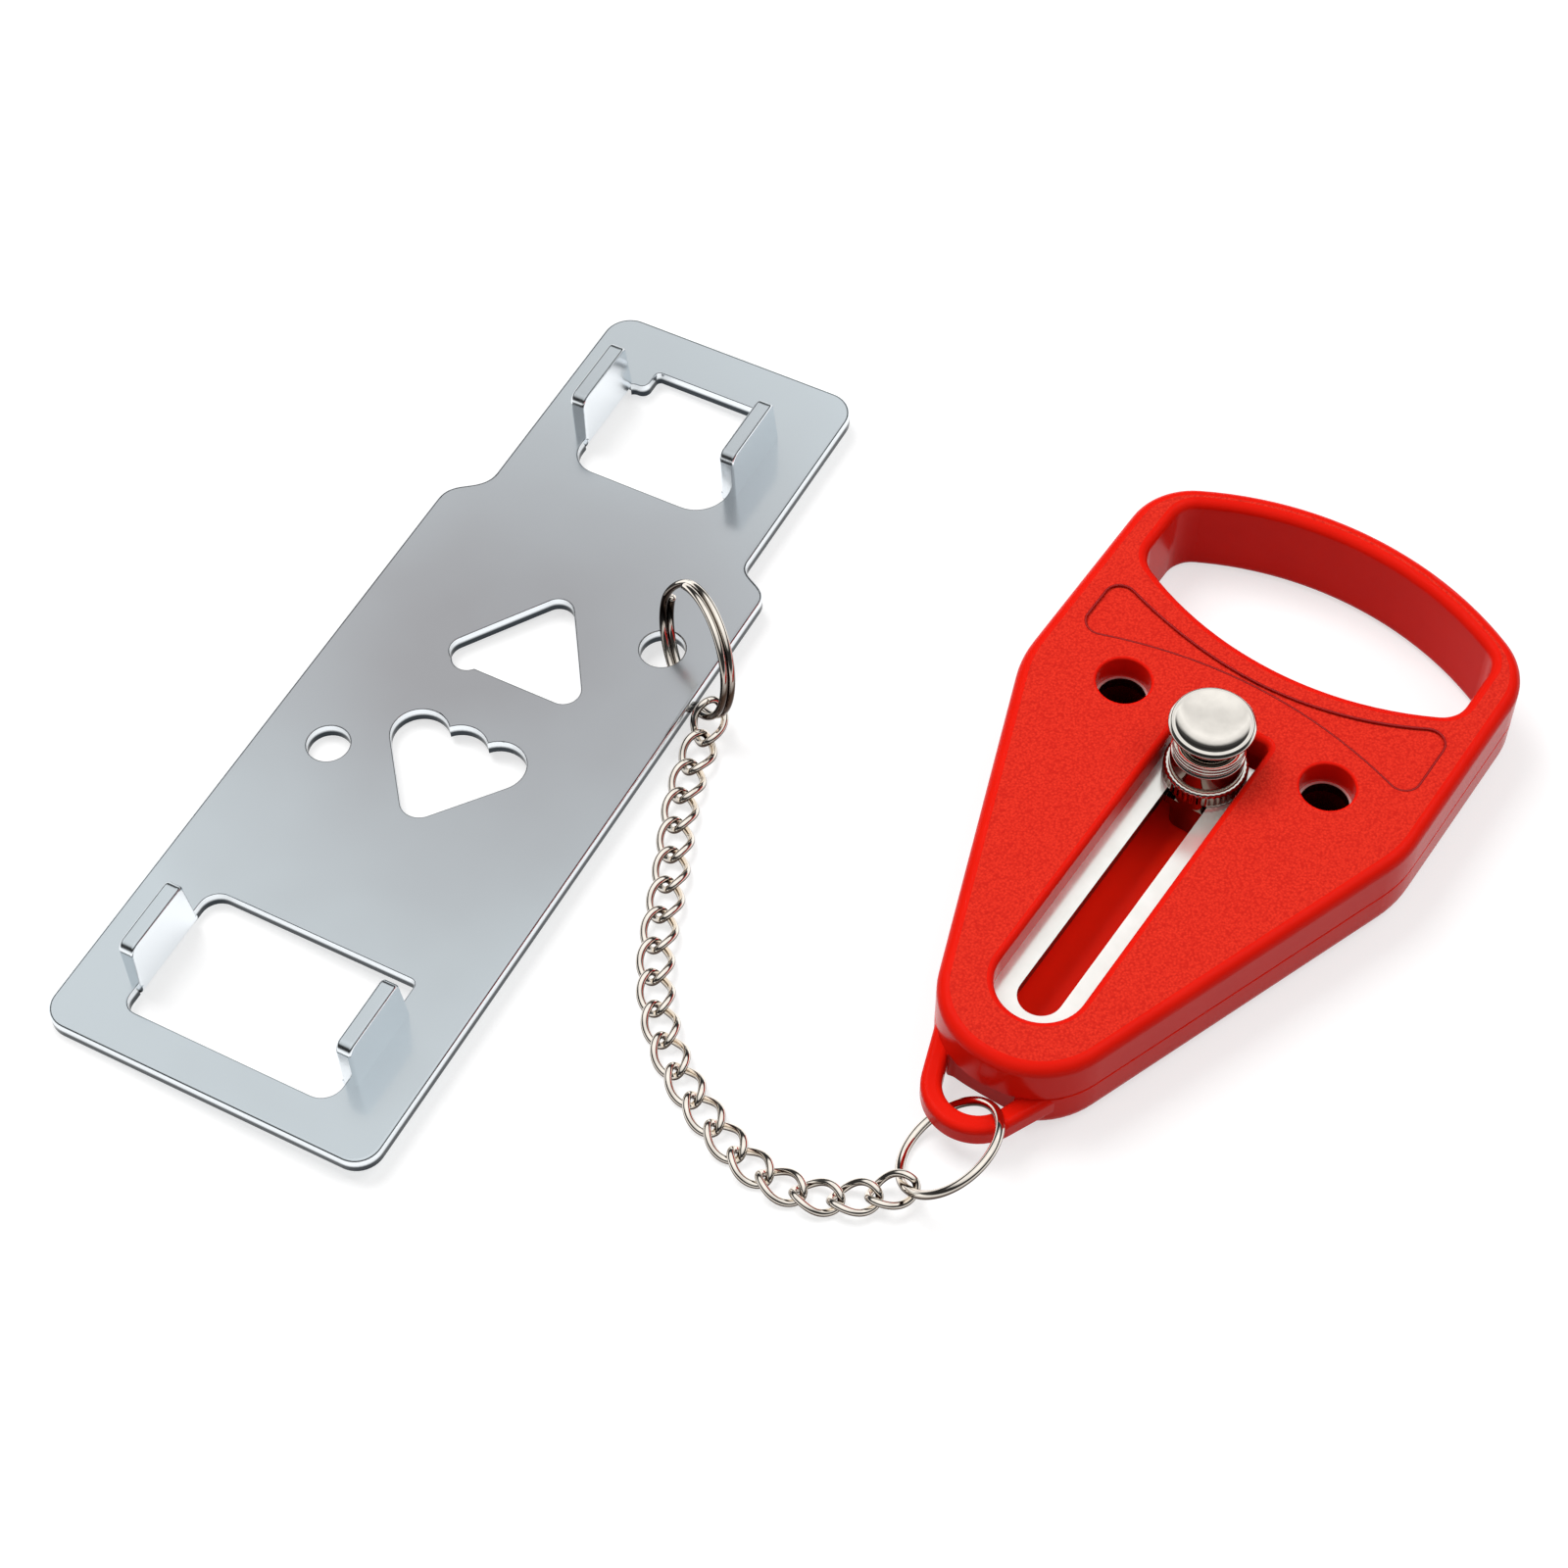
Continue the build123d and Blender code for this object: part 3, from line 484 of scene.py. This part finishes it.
def steel_finish():
    """Blanked steel of the slot plate, pale and satin, with a fine brushed mottle, painted shade on its
    upright walls and down the round holes.
    """
    made = Nodes("slot_steel")
    mottle = made.noise(420, 3)
    brush = made.noise(1.0, 3, made.stretched((7000, 500, 500)))
    pale = made.blend(made.span(mottle, 0.35, 0.7), colour(246, 247, 242), colour(253, 254, 250))
    # Painted shade on the upright walls
    sheet_with_painted_light = made.blend(made.span(made.rise(), 0.5, 0.9), colour(70, 58, 54), pale)
    # Painted shade down the round holes
    made.set(Base_Color=made.blend(painted_hole_shade(made), sheet_with_painted_light, colour(60, 12, 10)),
             Metallic=0.7, Roughness=made.span(mottle, 0.3, 0.7, 0.16, 0.22))
    made.set(Normal=made.bump(brush, brushing, 0.2))
    return made.material


def bright_finish(name, tint, side, low, high):
    """Bright nickel or chrome plating with a faint haze and wear, and a painted dark reflection down its
    sides.
    """
    made = Nodes(name)
    haze = made.noise(700, 3)
    worn = made.blend(made.span(haze, 0.35, 0.65), tint, tuple(0.93 * part for part in tint[:3]) + (1.0,))
    # Painted dark reflection on the sides, plating colour on level faces
    made.set(Base_Color=made.blend(made.span(made.rise(), 0.2, 0.6), side, worn),
             Metallic=1.0, Roughness=made.span(haze, 0.3, 0.7, low, high))
    made.set(Normal=made.bump(made.noise(1300, 2), ripple, 0.25))
    return made.material


zinc = zinc_finish()
red_grain = red_finish("red_grained", True)
red_smooth = red_finish("red_smooth", False)
steel = steel_finish()
# Second colours are painted dark reflections down the sides
chrome = bright_finish("knob_chrome", colour(236, 231, 223), colour(128, 112, 102), 0.04, 0.08)
nickel = bright_finish("wire_nickel", colour(250, 242, 231), colour(66, 50, 40), 0.03, 0.06)
panel_shade_line = line_finish()


def softened(corners, closed):
    """Points of a turned profile, each corner drawn into a short curve of its own rounding."""
    profile = []
    for index, (radius, height, bend) in enumerate(corners):
        here = Vector((radius, height))
        if not bend or (not closed and index in (0, len(corners) - 1)):
            profile.append(here)
            continue
        before = Vector(corners[index - 1][:2]) - here
        after = Vector(corners[(index + 1) % len(corners)][:2]) - here
        start = here + before.normalized() * min(bend, before.length * bend_share)
        end = here + after.normalized() * min(bend, after.length * bend_share)
        steps = small_bend_steps if bend < small_bend else large_bend_steps
        for step in range(steps + 1):
            share = step / steps
            profile.append(start * (1 - share)**2 + here * (2 * share * (1 - share)) + end * share**2)
    return profile


def lathe(made, corners, turns=turned_sides, wave=None, solid=False):
    """Turned skin about the knob's axis; a solid one begins and ends on the axis."""
    profile = softened(corners, not solid)
    poles = []
    if solid:
        poles = [made.verts.new((0, knob_y, profile[0].y)), made.verts.new((0, knob_y, profile[-1].y))]
        profile = profile[1:-1]
    rings = []
    for turn in range(turns):
        angle = 2 * math.pi * turn / turns
        ring = []
        for point in profile:
            radius = point.x - (wave(angle, point.y) if wave and point.x > bead_inner_r else 0)
            ring.append(made.verts.new((radius * math.cos(angle), knob_y + radius * math.sin(angle),
                                        point.y)))
        rings.append(ring)
    last = len(profile) - 1
    for turn in range(turns):
        here, after = rings[turn], rings[(turn + 1) % turns]
        for index in range(last if solid else last + 1):
            across = (index + 1) % len(profile)
            made.faces.new((here[index], after[index], after[across], here[across]))
        if solid:
            made.faces.new((poles[0], after[0], here[0]))
            made.faces.new((poles[1], here[last], after[last]))


def build_knob():
    """Stud with its dished head, grooved barrel and beaded flange."""
    barrel_z = flange_z + flange_height
    collar_z = barrel_z + barrel_height
    neck_z = collar_z + collar_height + turn_gap
    cone_z = neck_z + neck_height
    lip_z = cone_z + cone_height
    top_z = lip_z + head_lip + rim_height
    stud = bmesh.new()
    dish = [(dish_rim_r * share, top_z - dish_depth * (1 - share**dish_bend), 0) for share in dish_shares]
    lathe(stud, [(0, tail_bottom_z, 0), (tail_r, tail_bottom_z, 0), (tail_r, block_top_z, 0),
                 (shank_r, block_top_z, 0), (shank_r, neck_z, 0), (neck_r, neck_z, edge_r),
                 (neck_r, cone_z, edge_r * 3), (head_r, lip_z, edge_r), (head_r, lip_z + head_lip, edge_r),
                 (rim_r, top_z, edge_r), (dish_rim_r, top_z, edge_r)]
          + dish + [(0, top_z - dish_depth, 0)], solid=True)
    new_piece("knob_stud_turned", stud, chrome, "slider", ["knob_stud"])
    barrel = bmesh.new()
    top = collar_z + collar_height
    waist = collar_r - collar_groove_depth
    profile = [(bore_r, flange_z, 0), (spigot_r, flange_z, 0), (spigot_r, barrel_z, 0),
               (barrel_r - barrel_edge, barrel_z, 0), (barrel_r, barrel_z + barrel_edge, edge_r),
               (barrel_r, collar_z - barrel_edge, edge_r), (barrel_r - barrel_edge, collar_z, edge_r / 2)]
    for share in groove_places:
        low = collar_z + share * collar_height
        profile += [(collar_r, low, edge_r / 2), (collar_r, low + collar_groove, edge_r / 2),
                    (waist, low + groove_floor_start, 0), (waist, low + groove_floor_end, 0)]
    profile += [(collar_r, top - groove_floor_end, edge_r / 2), (collar_r, top, edge_r), (bore_r, top, 0)]
    lathe(barrel, profile)
    new_piece("clamp_barrel_turned", barrel, chrome, "clamp", ["clamp_barrel"])
    ring = bmesh.new()
    middle = flange_z + flange_height / 2
    half = flange_height / 2 - flange_chamfer

    def beads(angle, height):
        """Depth of the beading at an angle and height of the flange."""
        inside = max(0.0, 1 - ((height - middle) / half)**2)
        wave = 0.5 - 0.5 * math.cos(bead_count * angle)
        return bead_depth * wave * (bead_edge_share + (1 - bead_edge_share) * inside)

    band = [(flange_r, middle + half * step / band_steps, 0) for step in range(-band_steps, band_steps + 1)]
    lathe(ring, [(spigot_r, flange_z, 0), (flange_r - flange_chamfer, flange_z, edge_r)] + band
          + [(flange_r - flange_chamfer, barrel_z, edge_r), (spigot_r, barrel_z, 0)],
          bead_count * sides_per_bead, beads)
    new_piece("flange_ring_turned", ring, chrome, "clamp", ["knurled_ring"])


def finish_node(node, finish):
    """A CAD node with a better finish."""
    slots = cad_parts[node].data.materials
    slots.clear()
    slots.append(finish)


# Chain, its rings and their wire
hoop = Hoop(ring_r, ring_wire / 2, ring_lean, ring_heading)
hoop.centre = Vector((ring_centre_xy[0], ring_centre_xy[1], hoop.height))


def build_ring():
    """The ring through the lug."""
    made = bmesh.new()
    angles = [360 * station / ring_stations for station in range(ring_stations)]
    tube(made, [hoop.point(angle) for angle in angles], [hoop.spoke(angle) for angle in angles],
         [hoop.normal] * ring_stations, ring_wire)
    new_piece("lug_ring_wire", made, nickel, "lug_ring", ["handle_ring"])


def build_chain():
    """Twenty twisted links."""
    centres, slopes, rolls = chain_course(hoop)
    for index, centre in enumerate(centres):
        made = chain_link()
        place(made, link_matrix(centre, link_headings[index], slopes[index], rolls[index]))
        new_piece(f"link_wire_{index + 1:02d}", made, nickel, f"link_{index + 1:02d}",
                  [f"chain_link_{index + 1:02d}"])
    return centres


def build_split_ring(last_centre):
    """Two coils of one wire side by side, with a jog from one to the other."""
    coil_step = split_wire + coil_gap
    half_band = split_wire / 2 + coil_step / 2 * math.cos(math.radians(split_lean))
    split = Hoop(split_r, half_band, split_lean, split_heading)
    reach = link_length / 2 - link_wire / 2 - split_wire / 2 - split_play
    grip = last_centre + direction(link_headings[-1], last_link_slope) * reach
    split.stand_on(grip, split.angle_at(grip.z, 1))
    sweep = 720 - split_jog_turn
    stations = round(sweep * ring_stations / 360)
    centres, spokes = [], []
    for station in range(stations + 1):
        angle = split_jog_turn / 2 + sweep * station / stations
        share = min(max((angle - 360) / split_jog_turn + 0.5, 0), 1)
        along = coil_step / 2 * (2 * share**2 * (3 - 2 * share) - 1)
        centres.append(split.point(angle + split_jog_at, along))
        spokes.append(split.spoke(angle + split_jog_at))
    made = bmesh.new()
    tube(made, centres, spokes, [split.normal] * (stations + 1), split_wire, closed=False)
    new_piece("split_ring_wire", made, nickel, "key_ring", ["split_ring"])


def build_panel_line():
    """A fine line in the step round the handle's shallow panel, dark as painted shade."""
    shell = bmesh.new()
    shell.from_mesh(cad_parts["handle_top_shell"].data)
    floor = {face for face in shell.faces
             if all(abs(vert.co.z - panel_floor_z) < panel_floor_play for vert in face.verts)}
    rim = [painted_sheen_share for painted_sheen_share in shell.edges if len(floor.intersection(painted_sheen_share.link_faces)) == 1]
    places = {}
    for painted_sheen_share in rim:
        for vert, other in (painted_sheen_share.verts, reversed(painted_sheen_share.verts)):
            places.setdefault(tuple(vert.co), []).append(tuple(other.co))
    start = min(places)
    route, here = [start], places[start][0]
    while here != start:
        route.append(here)
        here = next(there for there in places[here] if there != route[-2])
    shell.free()
    lift = Vector((0, 0, panel_line_lift))
    centres = [Vector(point) + lift for point in route]
    up = Vector((0, 0, 1))
    spokes = [up.cross(centres[(index + 1) % len(centres)] - centres[index - 1]).normalized()
              for index in range(len(centres))]
    made = bmesh.new()
    tube(made, centres, spokes, [up] * len(centres), 2 * panel_line_r)
    new_piece("panel_line", made, panel_shade_line, "handle")


build_ring()
build_split_ring(build_chain()[-1])
build_panel_line()

build_knob()
finish_node("claw_plate", zinc)
finish_node("handle_top_shell", red_grain)
finish_node("handle_bottom_shell", red_smooth)
finish_node("slot_plate", steel)
finish_node("slider_block", chrome)


def floor_finish():
    """White floor that keeps the shadow, and looks white to the camera and in metal."""
    made = Nodes("white_floor")
    rays = made.add("ShaderNodeLightPath")
    seen = made.math("MAXIMUM", rays.outputs["Is Camera Ray"],
                     made.math("MAXIMUM", rays.outputs["Is Glossy Ray"], rays.outputs["Is Transmission Ray"]))
    made.set(Base_Color=floor_grey, Roughness=1.0, Specular_IOR_Level=0.0,
             Emission_Color=(1, 1, 1, 1), Emission_Strength=made.math("MULTIPLY", seen, floor_glow))
    return made.material


def build_floor():
    """Plain floor under the object."""
    made = bmesh.new()
    corners = ((-1, -1), (1, -1), (1, 1), (-1, 1))
    made.faces.new([made.verts.new((x * floor_reach, y * floor_reach, 0)) for x, y in corners])
    mesh = bpy.data.meshes.new("floor")
    made.to_mesh(mesh)
    made.free()
    floor = bpy.data.objects.new("floor", mesh)
    bpy.context.scene.collection.objects.link(floor)
    mesh.materials.append(floor_finish())


def ramp(tree, value, stops):
    """Grey levels between stops of position and level."""
    node = tree.nodes.new("ShaderNodeValToRGB")
    node.color_ramp.elements[0].position = stops[0][0]
    node.color_ramp.elements[1].position = stops[-1][0]
    for at, level in stops[1:-1]:
        node.color_ramp.elements.new(at)
    for spot, (at, level) in zip(node.color_ramp.elements, stops):
        spot.color = (level, level, level, 1)
    tree.links.new(value, node.inputs["Fac"])
    return node.outputs["Color"]


def build_world():
    """White surroundings; in reflections a bright far sky, a dark band at its foot and a dark near side."""
    world = bpy.data.worlds.new("studio")
    bpy.context.scene.world = world
    world.use_nodes = True
    tree = world.node_tree
    back = tree.nodes["Background"]
    rays = tree.nodes.new("ShaderNodeLightPath")
    place = tree.nodes.new("ShaderNodeTexCoord")
    split = tree.nodes.new("ShaderNodeSeparateXYZ")
    tree.links.new(place.outputs["Generated"], split.inputs[0])
    away = tree.nodes.new("ShaderNodeVectorMath")
    away.operation = "DOT_PRODUCT"
    away.inputs[1].default_value = far_side
    tree.links.new(place.outputs["Generated"], away.inputs[0])
    height = split.outputs["Z"]
    far = ramp(tree, height, far_levels)
    near = ramp(tree, height, near_levels)
    side = tree.nodes.new("ShaderNodeMapRange")
    side.interpolation_type = "SMOOTHSTEP"
    side.inputs["From Min"].default_value = near_until
    side.inputs["From Max"].default_value = far_from
    tree.links.new(away.outputs["Value"], side.inputs["Value"])
    sky = tree.nodes.new("ShaderNodeMix")
    sky.data_type = "RGBA"
    tree.links.new(side.outputs[0], sky.inputs[0])
    tree.links.new(near, sky.inputs[6])
    tree.links.new(far, sky.inputs[7])
    mix = tree.nodes.new("ShaderNodeMix")
    mix.data_type = "RGBA"
    tree.links.new(rays.outputs["Is Glossy Ray"], mix.inputs[0])
    mix.inputs[6].default_value = (1, 1, 1, 1)
    tree.links.new(sky.outputs[2], mix.inputs[7])
    tree.links.new(mix.outputs[2], back.inputs["Color"])
    seen = tree.nodes.new("ShaderNodeMapRange")
    seen.inputs["To Min"].default_value = world_level
    seen.inputs["To Max"].default_value = seen_level
    tree.links.new(rays.outputs["Is Camera Ray"], seen.inputs["Value"])
    shine = tree.nodes.new("ShaderNodeMath")
    shine.operation = "MULTIPLY"
    shine.inputs[1].default_value = shine_level
    tree.links.new(rays.outputs["Is Glossy Ray"], shine.inputs[0])
    level = tree.nodes.new("ShaderNodeMath")
    level.operation = "MAXIMUM"
    tree.links.new(seen.outputs[0], level.inputs[0])
    tree.links.new(shine.outputs[0], level.inputs[1])
    tree.links.new(level.outputs[0], back.inputs["Strength"])


def area_light(name, at, size, power):
    """Soft box looking at the object."""
    lamp = bpy.data.lights.new(name, "AREA")
    lamp.shape = "RECTANGLE"
    lamp.size, lamp.size_y = size
    lamp.energy = power
    body = bpy.data.objects.new(name, lamp)
    bpy.context.scene.collection.objects.link(body)
    body.location = at
    body.rotation_euler = (Vector(light_target) - Vector(at)).to_track_quat("-Z", "Y").to_euler()
    body.visible_glossy = False


def build_camera():
    """Camera at the photograph's place and angle of view."""
    lens = bpy.data.cameras.new("camera")
    lens.lens = camera_lens
    lens.sensor_width = camera_sensor
    lens.clip_start = camera_near
    camera = bpy.data.objects.new("camera", lens)
    bpy.context.scene.collection.objects.link(camera)
    right = Vector(camera_right).normalized()
    forward = Vector(camera_forward).normalized()
    up = right.cross(forward)
    turn = Matrix((right, up, -forward)).transposed().to_4x4()
    camera.matrix_world = Matrix.Translation(Vector(camera_place)) @ turn
    bpy.context.scene.camera = camera


build_floor()
build_world()
area_light("key_box", (-0.45, 0.05, 0.80), (0.5, 0.5), 6.0)
area_light("fill_box", (0.35, 0.35, 0.90), (0.5, 0.6), 2.5)
build_camera()
bpy.context.scene.view_settings.view_transform = "Standard"

bpy.context.view_layer.update()
